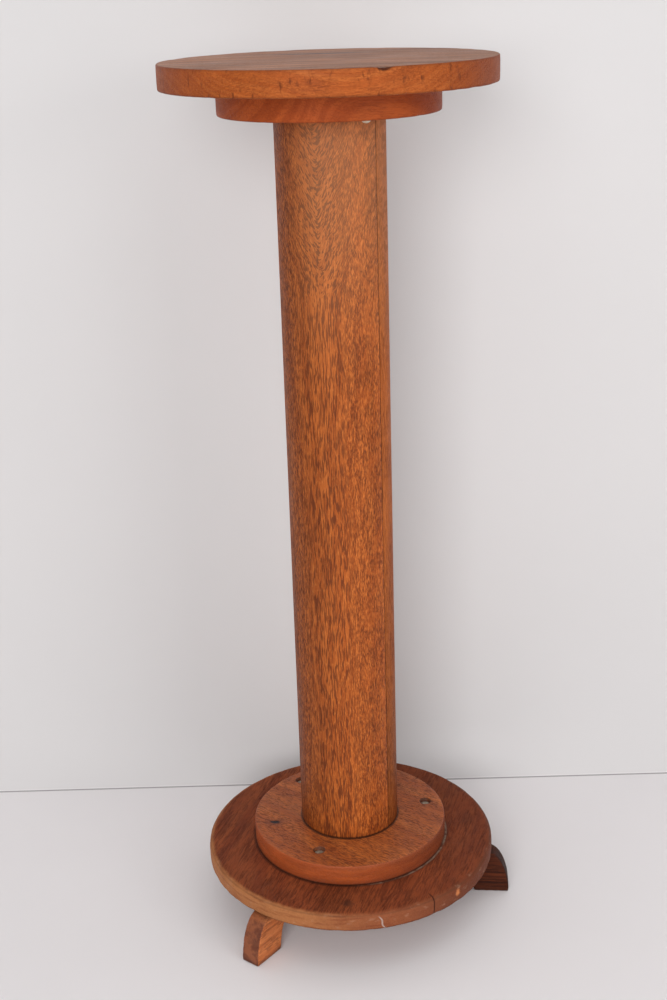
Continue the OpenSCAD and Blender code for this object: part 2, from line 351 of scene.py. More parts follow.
def build_base(material):
    def sink(turn, p):
        rim = hill(math.hypot(p.x, p.y), BASE_R, 6 * MM)
        high = hill(p.z, BASE_HIGH, 5 * MM) * rim
        low = hill(p.z, BASE_LOW, 3 * MM) * rim
        depth = 0.15 * MM + 0.12 * MM * rough(p, 40 * MM, 41)
        depth += high * (0.4 + 1.0 * max(0.0, rough(p, 22 * MM, 42))) * MM
        depth += low * (0.3 + 0.9 * max(0.0, rough(p, 14 * MM, 43))) * MM
        depth += rim * 0.25 * MM * abs(rough(p, 5 * MM, 44))
        chip = (p - spot(BASE_CHIP_TURN, BASE_R, BASE_HIGH - 8 * MM)).length
        depth += 0.9 * MM * hill(chip, 0, 3.2 * MM)
        return max(depth, 0.02 * MM)

    outline = disc_outline(BASE_R, BASE_LOW, BASE_HIGH, 5.2 * MM, 1.6 * MM, 30, 8)
    skin = turned_skin("skin", outline, even_turns(600), sink)
    worn_piece("base_disc", skin, "stand", material, cutter=crack_cutter())


def seam_turns():
    """The four directions where the column's glue lines reach its surface."""
    lean = math.degrees(math.acos(GLUE_LINE / COLUMN_R))
    return [COLUMN_TURN + lean, COLUMN_TURN + 180 - lean, COLUMN_TURN + 180 + lean, COLUMN_TURN - lean]


def column_turns(seams):
    """Even turns all round, with a fan of closer ones at each seam."""
    turns = set(round(turn, 4) for turn in even_turns(200))
    for seam in seams:
        for step in range(-6, 7):
            turns.add(round((seam + step * 0.3) % 360, 4))
    ordered = []
    for turn in sorted(turns):
        if not ordered or turn - ordered[-1] > 0.12:
            ordered.append(turn)
    return ordered


def column_skin():
    seams = seam_turns()
    rows = 96
    ease = 0.9 * MM
    inner = COLUMN_R - ease
    top, bottom = COLUMN_HIGH - ease, COLUMN_LOW + ease
    outline = [(0.0, COLUMN_HIGH + ease, 0.0, 1.0), (inner, COLUMN_HIGH + ease, 0.0, 0.0)]
    outline += [(inner, COLUMN_HIGH, 0.0, 0.0), (COLUMN_R - ease / 4, COLUMN_HIGH - ease / 2, 1.0, 0.0)]
    outline += [(COLUMN_R, top + (bottom - top) * i / rows, 1.0, 0.0) for i in range(rows + 1)]
    outline += [(COLUMN_R - ease / 4, COLUMN_LOW + ease / 2, 1.0, 0.0), (inner, COLUMN_LOW, 0.0, 0.0)]
    outline += [(inner, COLUMN_LOW - ease, 0.0, 0.0), (0.0, COLUMN_LOW - ease, 0.0, -1.0)]

    def sink(turn, p):
        depth = 0.12 * MM + 0.07 * MM * rough(Vector((p.x, p.y, p.z / 3)), 30 * MM, 51)
        for seam in seams:
            arc = math.radians(angle_from(turn, seam)) * COLUMN_R
            depth += 0.55 * MM * hill(arc, 0, 0.42 * MM) * (0.7 + 0.3 * rough(p, 25 * MM, 52))
        return max(depth, 0.02 * MM)

    return turned_skin("skin", outline, column_turns(seams), sink)


def build_column(materials):
    skin = column_skin()
    for board, material in materials.items():
        copy = bpy.data.objects.new("skin_copy", skin.data.copy())
        bpy.context.scene.collection.objects.link(copy)
        worn_piece(board, copy, "stand", material, 28)
    mesh = skin.data
    bpy.data.objects.remove(skin)
    bpy.data.meshes.remove(mesh)


def fine_copy(node, voxel):
    """A bmesh of the node remeshed into even small faces, and the object that held it."""
    obj = new_object("worn_" + node, clean_copy(node))
    remesh = obj.modifiers.new("fine", "REMESH")
    remesh.mode = "VOXEL"
    remesh.voxel_size = voxel
    bake(obj)
    bm = bmesh.new()
    bm.from_mesh(obj.data)
    return obj, bm


def build_foot(node, seed, material):
    """A foot with rubbed edges and small dents. Its screw holes keep their shape and its sole stays flat."""
    passes = 22
    hole_clear = 6.2 * MM
    obj, bm = fine_copy(node, 0.7 * MM)
    low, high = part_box(node)
    holes = [p for kind in ("long_foot_screws", "short_foot_screws") for p in screw_places(kind)]
    outside = [v for v in bm.verts
               if min(math.hypot(v.co.x - h.x, v.co.y - h.y) for h in holes) > hole_clear]
    for _ in range(passes):
        bmesh.ops.smooth_vert(bm, verts=outside, factor=0.5,
                              use_axis_x=True, use_axis_y=True, use_axis_z=True)
    bm.normal_update()
    for v in bm.verts:
        dent = 0.10 * MM + 0.16 * MM * rough(v.co, 9 * MM, seed) + 0.08 * MM * rough(v.co, 3 * MM, seed + 1)
        if low.z + 0.8 * MM <= v.co.z < high.z - 1 * MM:
            v.co -= v.normal * max(dent, 0.0)
        v.co.z = min(max(v.co.z, low.z), high.z)
    bm.to_mesh(obj.data)
    bm.free()
    stand_in(obj, node, "stand", material, 60)


def weld(obj):
    """Closes the importer's split edges, and drops the faces that collapse with them."""
    modifier = obj.modifiers.new("weld", "WELD")
    modifier.merge_threshold = SAME_PLACE


def dress(node, material, bevel=0.0):
    """Gives a CAD node its finish and, with a bevel, broken edges that catch the light."""
    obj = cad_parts[node]
    for s in obj.material_slots:
        s.material = material
    if bevel:
        weld(obj)
        edge = obj.modifiers.new("bevel", "BEVEL")
        edge.width = bevel
        edge.segments = 2
        edge.limit_method = "ANGLE"
        edge.angle_limit = math.radians(35)
        edge.harden_normals = True


# ---- materials ----


def colour(red, green, blue):
    """Linear colour from the 0-255 values that a screen shows."""
    def line(v):
        v /= 255
        return v / 12.92 if v <= 0.04045 else ((v + 0.055) / 1.055) ** 2.4
    return (line(red), line(green), line(blue), 1.0)


class Shader:
    """Short calls that build one material's node tree. Lengths in its coordinates are millimetres."""

    def __init__(self, name):
        self.material = bpy.data.materials.new(name)
        self.material.use_nodes = True
        self.tree = self.material.node_tree
        self.surface = self.tree.nodes["Principled BSDF"]
        coords = self.tree.nodes.new("ShaderNodeTexCoord")
        self.geometry = self.tree.nodes.new("ShaderNodeNewGeometry")
        scale = self.vector("MULTIPLY", coords.outputs["Object"], (1000, 1000, 1000))
        self.place = scale
        split = self.tree.nodes.new("ShaderNodeSeparateXYZ")
        self.tree.links.new(scale, split.inputs[0])
        self.x, self.y, self.z = split.outputs
        self.radius = self.length(self.x, self.y)

    def feed(self, socket, value):
        if isinstance(value, bpy.types.NodeSocket):
            self.tree.links.new(value, socket)
        else:
            socket.default_value = value

    def math(self, operation, a, b=0.0, c=0.0):
        node = self.tree.nodes.new("ShaderNodeMath")
        node.operation = operation
        for socket, value in zip(node.inputs, (a, b, c)):
            self.feed(socket, value)
        return node.outputs[0]

    def times(self, a, b):
        return self.math("MULTIPLY", a, b)

    def plus(self, a, b):
        return self.math("ADD", a, b)

    def minus(self, a, b):
        return self.math("SUBTRACT", a, b)

    def scale_add(self, value, factor, offset):
        return self.math("MULTIPLY_ADD", value, factor, offset)

    def swing(self, value, amount, middle):
        """The middle, pushed up or down by a value round 0.5."""
        return self.scale_add(self.minus(value, 0.5), amount, middle)

    def inverse(self, mask):
        """1 where the mask is 0, and 0 where it is 1."""
        return self.minus(1.0, mask)

    def length(self, a, b):
        return self.math("SQRT", self.plus(self.times(a, a), self.times(b, b)))

    def vector(self, operation, a, b=(0, 0, 0)):
        node = self.tree.nodes.new("ShaderNodeVectorMath")
        node.operation = operation
        self.feed(node.inputs[0], a)
        self.feed(node.inputs[1], b)
        return node.outputs["Value" if operation in ("DOT_PRODUCT", "LENGTH", "DISTANCE") else "Vector"]

    def combine(self, x, y, z):
        node = self.tree.nodes.new("ShaderNodeCombineXYZ")
        for socket, value in zip(node.inputs, (x, y, z)):
            self.feed(socket, value)
        return node.outputs[0]

    def noise(self, where, detail=2.0, roughness=0.5, twist=0.0):
        node = self.tree.nodes.new("ShaderNodeTexNoise")
        node.inputs["Scale"].default_value = 1.0
        node.inputs["Detail"].default_value = detail
        node.inputs["Roughness"].default_value = roughness
        node.inputs["Distortion"].default_value = twist
        self.feed(node.inputs["Vector"], where)
        return node.outputs[0]

    def cloud(self, per_mm, detail=2.0, roughness=0.5):
        """Noise in space; per_mm is its frequency along x, y and z."""
        return self.noise(self.vector("MULTIPLY", self.place, per_mm), detail, roughness)

    def lumps(self, place, size, detail=2.0, roughness=0.5, twist=0.0):
        """Noise over any three coordinates, its lumps as large as size in each."""
        scaled = [self.times(value, 1 / width) for value, width in zip(place, size)]
        return self.noise(self.combine(*scaled), detail, roughness, twist)

    def ramp(self, value, low, high, start=0.0, end=1.0):
        """Smooth step from start to end while the value goes from low to high."""
        node = self.tree.nodes.new("ShaderNodeMapRange")
        node.interpolation_type = "SMOOTHSTEP"
        self.feed(node.inputs["Value"], value)
        node.inputs["From Min"].default_value = low
        node.inputs["From Max"].default_value = high
        node.inputs["To Min"].default_value = start
        node.inputs["To Max"].default_value = end
        return node.outputs[0]

    def mix(self, share, a, b):
        node = self.tree.nodes.new("ShaderNodeMix")
        node.data_type = "RGBA"
        self.feed(node.inputs["Factor"], share)
        self.feed(node.inputs[6], a)
        self.feed(node.inputs[7], b)
        return node.outputs[2]

    def stain(self, base, mask, share, tint):
        """The base with a share of a tint where the mask is 1."""
        return self.mix(self.times(mask, share), base, tint)

    def tone(self, base, value, strength):
        """Lightens or darkens a colour by a value round 0.5."""
        node = self.tree.nodes.new("ShaderNodeHueSaturation")
        self.feed(node.inputs["Color"], base)
        self.feed(node.inputs["Value"], self.swing(value, strength, 1.0))
        return node.outputs[0]

    def bump(self, height, depth, before=None):
        node = self.tree.nodes.new("ShaderNodeBump")
        node.inputs["Strength"].default_value = 1.0
        node.inputs["Distance"].default_value = depth
        self.feed(node.inputs["Height"], height)
        if before is not None:
            self.feed(node.inputs["Normal"], before)
        return node.outputs[0]

    def near_ring(self, radius, height, low, high):
        """1 on the circle of that radius and height, 0 beyond high millimetres from it."""
        away = self.length(self.minus(self.radius, radius / MM), self.minus(self.z, height / MM))
        return self.ramp(away, low, high, 1.0, 0.0)

    def near_spot(self, point, low, high, stretch=(1, 1, 1), raggedness=0.0):
        """1 at a point, 0 beyond high millimetres from it, with a ragged edge."""
        away = self.vector("SUBTRACT", self.place, tuple(c / MM for c in point))
        away = self.vector("LENGTH", self.vector("MULTIPLY", away, stretch))
        if raggedness:
            away = self.swing(self.cloud((0.5, 0.5, 0.5), 3.0), raggedness, away)
        return self.ramp(away, low, high, 1.0, 0.0)

    def angle(self):
        """Direction round the stand, from the front towards +X, in radians."""
        return self.math("ARCTAN2", self.x, self.times(self.y, -1.0))

    def facing_up(self):
        """1 on faces that look up."""
        split = self.tree.nodes.new("ShaderNodeSeparateXYZ")
        self.tree.links.new(self.geometry.outputs["True Normal"], split.inputs[0])
        return self.ramp(split.outputs["Z"], 0.75, 0.97)

    def on_side(self, radius):
        """1 on the upright face of a disc of that radius."""
        outer = self.ramp(self.radius, radius / MM - 4, radius / MM - 2)
        return self.times(self.inverse(self.facing_up()), outer)

    def any_of(self, *masks):
        total = masks[0]
        for mask in masks[1:]:
            total = self.math("MAXIMUM", total, mask)
        return total

    def close(self, base, roughness, normal=None, metallic=0.0):
        self.feed(self.surface.inputs["Base Color"], base)
        self.feed(self.surface.inputs["Roughness"], roughness)
        self.surface.inputs["Metallic"].default_value = metallic
        if normal is not None:
            self.feed(self.surface.inputs["Normal"], normal)
        return self.material


class Board:
    """Coordinates inside one board, in millimetres: along the grain, across it and through its thickness.
    side and depth are measured from the tree's pith, which wanders as it grew."""

    def __init__(self, shader, along, face, pith_across, pith_through, wander, seed):
        s = shader
        along = Vector(along).normalized()
        face = Vector(face).normalized()
        across = along.cross(face)
        self.along = s.vector("DOT_PRODUCT", s.place, tuple(along))
        self.across = s.vector("DOT_PRODUCT", s.place, tuple(across))
        self.through = s.vector("DOT_PRODUCT", s.place, tuple(face))
        place = (self.across, self.through, self.along)
        shifted = s.combine(*(s.scale_add(v, 1 / size, seed) for v, size in zip(place, (55.0, 55.0, 210.0))))
        bend = s.minus(s.noise(shifted, 1.0), 0.5)
        other = s.minus(s.noise(s.vector("ADD", shifted, (31.7, 12.1, 5.3)), 1.0), 0.5)
        self.side = s.plus(s.minus(self.across, pith_across), s.times(bend, wander))
        self.depth = s.plus(s.minus(self.through, pith_through), s.times(other, wander))
        self.shader = s

    def ring_distance(self):
        return self.shader.length(self.side, self.depth)

    def streaks(self, a, b, width, length, thickness, seed, detail=2.0, roughness=0.5):
        """Noise drawn out along the grain; a and b are the two coordinates across it."""
        s = self.shader
        where = s.combine(s.scale_add(a, 1 / width, seed), s.scale_add(b, 1 / thickness, seed * 1.7),
                          s.scale_add(self.along, 1 / length, seed * 0.6))
        return s.noise(where, detail, roughness)


def flat_oak(name, heading, pith, look, seed, extra=None):
    """Oak of a board lying flat. heading is the grain's direction in plan, in degrees from +X;
    pith is (across, through) of the tree's centre; look holds the colours and strengths."""
    s = Shader(name)
    a = math.radians(heading)
    b = Board(s, (math.cos(a), math.sin(a), 0), (0, 0, 1), *pith, look["wander"], seed)
    ring = s.lumps((b.ring_distance(), seed * 3.3, 0.0), (look["ring"], 1, 1), 1.0)
    base = s.mix(s.ramp(ring, 0.34, 0.66), look["mid"], look["light"])
    width = look["streak_w"]
    streak = b.streaks(b.side, b.depth, width, look["streak_l"], width, seed + 1, 2.0, 0.55)
    group = b.streaks(b.side, b.depth, 9.0, 60.0, 9.0, seed + 5, 2.0)
    streak = s.swing(group, look.get("clump", 0.45), streak)
    streak = s.ramp(streak, look["streak_from"], look["streak_from"] + 0.13)
    base = s.stain(base, streak, look["streak"], look["dark"])
    width = look["pore_w"]
    pores = b.streaks(b.side, b.depth, width, look["pore_l"], width, seed + 2, 2.0, 0.6)
    pores = s.ramp(pores, look["pore_from"], look["pore_from"] + 0.09)
    pores = s.times(pores, s.ramp(group, 0.35, 0.6, 0.45, 1.0))
    base = s.stain(base, pores, look["pore_strength"], look["pore"])
    fibre = b.streaks(b.side, b.depth, 0.7, 14.0, 0.7, seed + 3, 2.0, 0.6)
    base = s.tone(base, fibre, look["fibre"])
    patch = s.cloud((1 / 48, 1 / 48, 1 / 30), 3.0, 0.55)
    base = s.tone(base, patch, look["patch"])
    rough_value = s.swing(patch, 0.3, look["rough"])
    rough_value = s.plus(rough_value, s.times(pores, 0.15))
    dents = s.cloud((1 / 7, 1 / 7, 1 / 7), 3.0, 0.6)
    normal = s.bump(dents, 0.00025)
    normal = s.bump(fibre, 0.00006, normal)
    normal = s.bump(s.inverse(s.math("MAXIMUM", pores, streak)), 0.00014, normal)
    s.surface.inputs["Specular IOR Level"].default_value = look["sheen"]
    if extra:
        base, rough_value = extra(s, b, base, rough_value)
    return s.close(base, rough_value, normal)


def top_oak():
    look = {"light": colour(176, 94, 42), "mid": colour(164, 82, 34), "dark": colour(126, 56, 25),
            "pore": colour(104, 46, 22), "ring": 3.0, "streak_w": 1.3, "streak_l": 18.0, "streak_from": 0.5,
            "streak": 0.35, "pore_w": 0.9, "pore_l": 5.0, "pore_from": 0.52, "pore_strength": 0.35,
            "fibre": 0.4, "patch": 0.5, "rough": 0.45, "wander": 22.0, "sheen": 0.3}

    def extra(s, b, base, rough_value):
        up = s.facing_up()
        base = s.mix(up, base, top_face_with_reflection(s, b, base))
        base = top_rim_marks(s, base)
        s.feed(s.surface.inputs["Specular IOR Level"], s.scale_add(up, 0.24, 0.1))
        return base, s.scale_add(up, 0.06, rough_value)

    return flat_oak("finish_oak_top", 3.0, (12.0, 720.0), look, 1.0, extra)


def top_face_with_reflection(s, b, base):
    """The face that the work stands on, greyed by a painted reflection of the pale wall, streaked along the
    grain and stained.
    """
    # Painted reflection: the wood is mixed towards the grey that the pale wall gives at this low angle.
    face_with_painted_reflection = s.mix(0.6, base, colour(172, 132, 104))
    streak = b.streaks(b.side, b.depth, 5.0, 130.0, 12.0, 61, 4.0, 0.65)
    face_with_painted_reflection = s.mix(s.ramp(streak, 0.44, 0.66, 0.0, 0.8), face_with_painted_reflection, colour(96, 54, 40))
    band = b.streaks(b.side, b.depth, 28.0, 150.0, 28.0, 67, 3.0, 0.6)
    face_with_painted_reflection = s.tone(face_with_painted_reflection, band, 1.1)
    hair = b.streaks(b.side, b.depth, 1.3, 60.0, 6.0, 71, 2.0, 0.5)
    face_with_painted_reflection = s.mix(s.ramp(hair, 0.56, 0.64, 0.0, 0.5), face_with_painted_reflection, colour(92, 54, 42))
    stain = s.near_spot(spot(190, 70 * MM, TOP_HIGH), 8, 44, (0.6, 2.2, 1), 30)
    return s.stain(face_with_painted_reflection, stain, 0.6, colour(72, 70, 78))


def top_rim_marks(s, base):
    """Dirt along the rim's two edges, its chip and notch, and dark smears that fade into redder ends."""
    base = s.stain(base, s.near_ring(TOP_R, TOP_HIGH, 0.6, 3.0), 0.35, colour(98, 52, 32))
    base = s.stain(base, s.near_ring(TOP_R, TOP_LOW, 0.4, 2.6), 0.55, colour(82, 40, 24))
    chip_place = spot(TOP_CHIP_TURN, TOP_R - 1 * MM, TOP_HIGH - 1.4 * MM)
    chip = s.near_spot(chip_place, 1.4, 3.0, (0.42, 0.42, 1.0), 3)
    notch = s.near_spot(spot(TOP_NOTCH_TURN, TOP_R, TOP_LOW + 0.5 * MM), 1.0, 2.6)
    base = s.stain(base, s.any_of(chip, notch), 0.85, colour(56, 28, 20))
    on_rim = s.on_side(TOP_R)
    smear = s.lumps((s.angle(), s.z, 3.0), (1 / 26, 16, 1), 3.0, 0.6)
    base = s.stain(base, s.times(s.ramp(smear, 0.56, 0.72), on_rim), 0.75, colour(92, 42, 24))
    far = s.times(s.ramp(s.math("ABSOLUTE", s.x), 70, 150), on_rim)
    base = s.stain(base, far, s.ramp(s.x, -60, 60, 0.35, 0.5), colour(120, 50, 28))
    return s.tone(base, s.cloud((0.45, 0.45, 0.7), 4.0, 0.7), 0.7)


def upper_flange_oak():
    look = {"light": colour(170, 82, 37), "mid": colour(152, 69, 30), "dark": colour(118, 50, 24),
            "pore": colour(106, 44, 24), "ring": 4.2, "streak_w": 1.5, "streak_l": 14.0, "streak_from": 0.5,
            "streak": 0.3, "pore_w": 0.9, "pore_l": 5.0, "pore_from": 0.53, "pore_strength": 0.25,
            "fibre": 0.3, "patch": 0.5, "rough": 0.45, "wander": 26.0, "sheen": 0.1}

    def extra(s, b, base, rough_value):
        # Painted shade in the corner under the top disc's overhang, and darker along the flange's lower
        # edge.
        dirt = s.any_of(s.near_ring(UPPER_R, TOP_LOW, 0.6, 3.0), s.near_ring(UPPER_R, UPPER_LOW, 0.3, 1.8))
        # Painted shade: the flange's right side (+x) is darkened.
        base = s.mix(s.ramp(s.x, 45, 100, 0.0, 0.35), base, colour(112, 44, 26))
        return s.stain(base, dirt, 0.55, colour(66, 30, 20)), rough_value

    return flat_oak("finish_oak_upper_flange", 34.0, (-30.0, 900.0), look, 5.0, extra)


def lower_flange_oak():
    look = {"light": colour(192, 106, 48), "mid": colour(172, 87, 36), "dark": colour(104, 48, 24),
            "pore": colour(84, 38, 22), "ring": 2.6, "streak_w": 1.1, "streak_l": 9.0, "streak_from": 0.47,
            "streak": 0.62, "pore_w": 1.05, "pore_l": 4.5, "pore_from": 0.5, "pore_strength": 0.55,
            "fibre": 0.45, "patch": 0.4, "rough": 0.46, "wander": 14.0, "sheen": 0.38, "clump": 0.25}

    def extra(s, b, base, rough_value):
        base = knot(s, base, spot(KNOT_TURN, KNOT_R, COLUMN_LOW))
        side = s.on_side(LOWER_R)
        band = s.lumps((b.across, b.along, s.z), (30, 30, 4), 3.0)
        # Painted shade: the edge's colour darkens towards the right (+x).
        edge = s.tone(s.mix(s.ramp(s.x, 0, 90), colour(168, 75, 29), colour(122, 52, 23)), band, 0.9)
        base = s.stain(base, side, 0.8, edge)
        # Painted contact shade at the foot of the edge, where it meets the base.
        shade_at_edge_foot = s.ramp(s.z, BASE_HIGH / MM + 1, BASE_HIGH / MM + 9, 0.4, 0.0)
        base = s.stain(base, shade_at_edge_foot, side, colour(110, 46, 24))
        # Painted contact shade, with grime, where the column stands on the flange and where the flange meets
        # the base.
        shade_and_grime = s.any_of(s.near_ring(COLUMN_R, COLUMN_LOW, 0.4, 2.6),
                         s.near_ring(LOWER_R, BASE_HIGH, 0.4, 2.4))
        base = s.stain(base, shade_and_grime, 0.8, colour(50, 27, 20))
        for place in screw_places("flange_screws"):
            # Painted shade inside each screw well.
            well_shade = s.near_spot((place.x, place.y, 0), 5.8, 6.8, (1, 1, 0), 1.0)
            base = s.stain(base, well_shade, 0.75, colour(60, 34, 24))
        return base, rough_value

    return flat_oak("finish_oak_lower_flange", -37.0, (20.0, -260.0), look, 9.0, extra)


def knot(s, base, place):
    """A small black knot in a brown halo, both drawn out along x."""
    base = s.stain(base, s.near_spot(place, 3, 15, (0.7, 1.5, 1), 6), 0.55, colour(112, 54, 32))
    return s.mix(s.near_spot(place, 2.6, 4.4, (0.7, 1.25, 1), 3), base, colour(34, 20, 24))


def base_oak():
    look = {"light": colour(142, 73, 41), "mid": colour(128, 62, 35), "dark": colour(81, 38, 24),
            "pore": colour(60, 28, 19), "ring": 4.0, "streak_w": 1.6, "streak_l": 20.0, "streak_from": 0.47,
            "streak": 0.5, "pore_w": 1.2, "pore_l": 9.0, "pore_from": 0.51, "pore_strength": 0.4,
            "fibre": 0.4, "patch": 0.9, "rough": 0.56, "wander": 18.0, "sheen": 0.1}

    def extra(s, b, base, rough_value):
        lumps = s.cloud((0.12, 0.12, 0.12), 3.0)
        shade = s.times(s.ramp(s.x, 20, 110), s.ramp(s.y, -40, 80))
        base = s.stain(base, shade, 0.3, colour(72, 30, 16))
        base = base_rim_wear_and_light(s, base, lumps)
        stain = s.near_spot(spot(BASE_STAIN_TURN, 131 * MM, BASE_HIGH), 2.5, 8, (1, 1, 1), 5)
        base = s.stain(base, stain, 0.6, colour(46, 30, 25))
        # Painted contact shade, with grime, where the flange meets the base, and darker along the base's
        # lower edge.
        shade_and_grime = s.any_of(s.near_ring(LOWER_R, BASE_HIGH, 0.6, 4.0), s.near_ring(BASE_R, BASE_LOW, 0.5, 3.0))
        base = s.stain(base, shade_and_grime, 0.7, colour(52, 27, 20))
        dust = s.times(s.near_ring(LOWER_R + 1 * MM, BASE_HIGH, 0.6, 1.6), s.ramp(s.x, 0, 40))
        base = s.stain(base, dust, s.ramp(lumps, 0.4, 0.6, 0.1, 0.7), colour(150, 124, 106))
        chip = s.near_spot(spot(BASE_CHIP_TURN, BASE_R, BASE_HIGH - 8 * MM), 1.4, 4.0, (0.9, 0.9, 0.8), 3)
        base = s.stain(base, chip, 0.9, colour(206, 126, 76))
        return dark_crack(s, base), rough_value

    return flat_oak("finish_oak_base", 72.0, (35.0, -340.0), look, 14.0, extra)


def base_arc(s, turn):
    """Length round the base's rim from a direction, in millimetres."""
    return s.minus(s.times(s.angle(), BASE_R / MM), math.radians(turn) * BASE_R / MM)


def base_rim_wear_and_light(s, base, lumps):
    """The rim, rubbed down to pale wood, with a painted highlight towards the left and painted shade towards
    the right, and a scuff across it.
    """
    away = s.scale_add(lumps, 4.0, s.radius)
    rim = s.ramp(away, BASE_R / MM - 4.4, BASE_R / MM + 0.6)
    arc = base_arc(s, 0)
    line = s.lumps((arc, s.z, 1.0), (30, 3.2, 1), 4.0, 0.6)
    wear = s.lumps((arc, s.z, 7.0), (13, 7, 1), 4.0, 0.65)
    # Painted highlight on the rim's left and painted shade on its right, set by x.
    rim_wear_and_painted_light = s.mix(s.ramp(s.x, -75, 35), colour(176, 114, 70), colour(144, 82, 52))
    rim_wear_and_painted_light = s.mix(s.ramp(s.x, 35, 125), rim_wear_and_painted_light, colour(106, 56, 36))
    rim_wear_and_painted_light = s.mix(s.ramp(line, 0.5, 0.66, 0.0, 0.45), rim_wear_and_painted_light, colour(122, 60, 38))
    rim_wear_and_painted_light = s.mix(s.ramp(wear, 0.56, 0.74, 0.0, 0.45), rim_wear_and_painted_light, colour(190, 144, 116))
    rim_wear_and_painted_light = s.tone(rim_wear_and_painted_light, s.cloud((0.5, 0.5, 0.7), 4.0, 0.7), 0.5)
    base = s.stain(base, rim, s.ramp(wear, 0.3, 0.5, 0.7, 0.96), rim_wear_and_painted_light)
    worn_line = s.near_ring(BASE_R - 1.2 * MM, BASE_HIGH - 1.6 * MM, 0.5, 1.8)
    base = s.stain(base, worn_line, 0.4, colour(84, 54, 38))
    return s.stain(base, s.times(scuff_line(s), rim), 0.55, colour(200, 184, 174))


def scuff_line(s):
    """1 along a thin swaying line that climbs the base's rim."""
    rise = s.minus(s.z, BASE_LOW / MM + 8)
    sway = s.scale_add(s.math("SINE", s.times(rise, 0.5)), 0.9, s.times(rise, -0.4))
    away = s.math("ABSOLUTE", s.minus(base_arc(s, BASE_SCUFF_TURN), sway))
    upper_end = s.ramp(s.z, BASE_HIGH / MM - 6, BASE_HIGH / MM - 3, 1.0, 0.0)
    return s.times(s.ramp(away, 0.45, 1.2, 1.0, 0.0), upper_end)


def dark_crack(s, base):
    """Dirt in the crack, which leans a little."""
    lean = s.times(s.minus(s.z, BASE_LOW / MM), 0.07)
    away = s.math("ABSOLUTE", s.minus(base_arc(s, BASE_CRACK_TURN), lean))
    crack = s.times(s.ramp(away, 0.4, 1.1, 1.0, 0.0), s.ramp(s.radius, BASE_R / MM - 13, BASE_R / MM - 8))
    return s.stain(base, crack, 0.75, colour(44, 22, 16))


def foot_oak(name, node, look, seed):
    """Oak of a foot, darker where its end grain has drunk more oil and where it is grimy by the floor, with
    a painted shadow along its top just under the base.
    """
    turn = FOOT_TURNS[node]

    def extra(s, b, base, rough_value):
        out = s.vector("DOT_PRODUCT", s.geometry.outputs["True Normal"], tuple(bearing(turn)))
        end = s.ramp(out, 0.35, 0.8)
        blotch = s.cloud((0.09, 0.09, 0.07), 4.0, 0.6)
        end_grain = s.mix(s.ramp(blotch, 0.4, 0.6), look["end"], look["end_light"])
        base = s.stain(base, end, 0.85, end_grain)
        # Painted shadow along the top of the foot, just under the base.
        shadow_under_base = s.ramp(s.z, BASE_LOW / MM - 5, BASE_LOW / MM - 0.5)
        base = s.stain(base, shadow_under_base, 0.6, colour(62, 34, 22))
        grime_top = s.scale_add(s.cloud((0.2, 0.2, 0.2)), 6.0, s.z)
        low = s.ramp(grime_top, 3.5, 9.0, 1.0, 0.0)
        return s.stain(base, low, 0.6, colour(58, 36, 28)), rough_value

    return flat_oak(name, turn - 90.0, (4.0, 60.0), look, seed, extra)


def cathedral(s, b, look, seed):
    """Growth lines of a sawn face, nested points that climb the board: a value that runs across the
    lines, and the distance from the middle of the figure."""
    bend = s.lumps((b.along, seed, 0.0), (150, 1, 1), 1.0)
    x = s.swing(bend, 18.0, s.minus(b.across, look["middle"]))
    point = s.math("SQRT", s.scale_add(x, x, look["point"] ** 2))
    above = s.math("MAXIMUM", s.minus(b.along, look["fan_from"]), 0.0)
    climb = s.times(s.times(above, above), look["fan"])
    wave = s.math("SINE", s.scale_add(b.along, 2 * math.pi / look["wave"], seed))
    climb = s.plus(climb, s.scale_add(wave, look["lift"], s.times(b.along, look["slope"])))
    jitter = s.lumps((b.across, b.through, b.along), (9, 9, 16))
    return s.minus(s.swing(jitter, look["jitter"], point), climb), s.math("ABSOLUTE", x)


def column_dashes(s, b, p, side, deep, look, seed):
    """Dark dashes that stand upright low on the board and follow the growth lines near its top."""
    arcs = s.ramp(b.along, look["fan_from"] + 10, look["fan_from"] + 70)
    curved = b.streaks(p, b.across, 1.0, 6.0, 4.0, seed + 1, 1.0, 0.5)
    wobble = s.lumps((side, seed, b.along), (7, 1, 20))
    upright = b.streaks(s.scale_add(wobble, 3.5, side), deep, 0.95, 13.0, 3.0, seed + 7, 1.0, 0.5)
    dash = s.plus(s.times(arcs, curved), s.times(s.inverse(arcs), upright))
    group = s.lumps((side, seed * 3.1, b.along), (5, 1, 22))
    return s.ramp(s.swing(group, 0.3, dash), 0.48, 0.57)


def column_stains(s, b, base):
    """A paler upper part, painted contact shade with grime at both ends, and dark glue lines."""
    # Paler towards the top, fading out towards the left.
    pale_upper_part = s.times(s.ramp(b.along, 560.0, 800.0), s.ramp(b.across, -40.0, 0.0))
    base = s.stain(base, pale_upper_part, 0.2, colour(196, 156, 116))
    # Painted contact shade, with grime, where the column meets the flanges at both ends.
    shade_and_grime = s.any_of(s.near_ring(COLUMN_R, COLUMN_LOW, 0.4, 2.6),
                     s.near_ring(COLUMN_R, COLUMN_HIGH, 0.2, 1.6))
    base = s.stain(base, shade_and_grime, 0.8, colour(50, 26, 18))
    from_middle = s.math("ABSOLUTE", s.vector("DOT_PRODUCT", s.place, tuple(bearing(COLUMN_TURN))))
    from_seam = s.math("ABSOLUTE", s.minus(from_middle, GLUE_LINE / MM))
    return s.stain(base, s.ramp(from_seam, 0.25, 0.8, 1.0, 0.0), 0.85, colour(58, 28, 18))


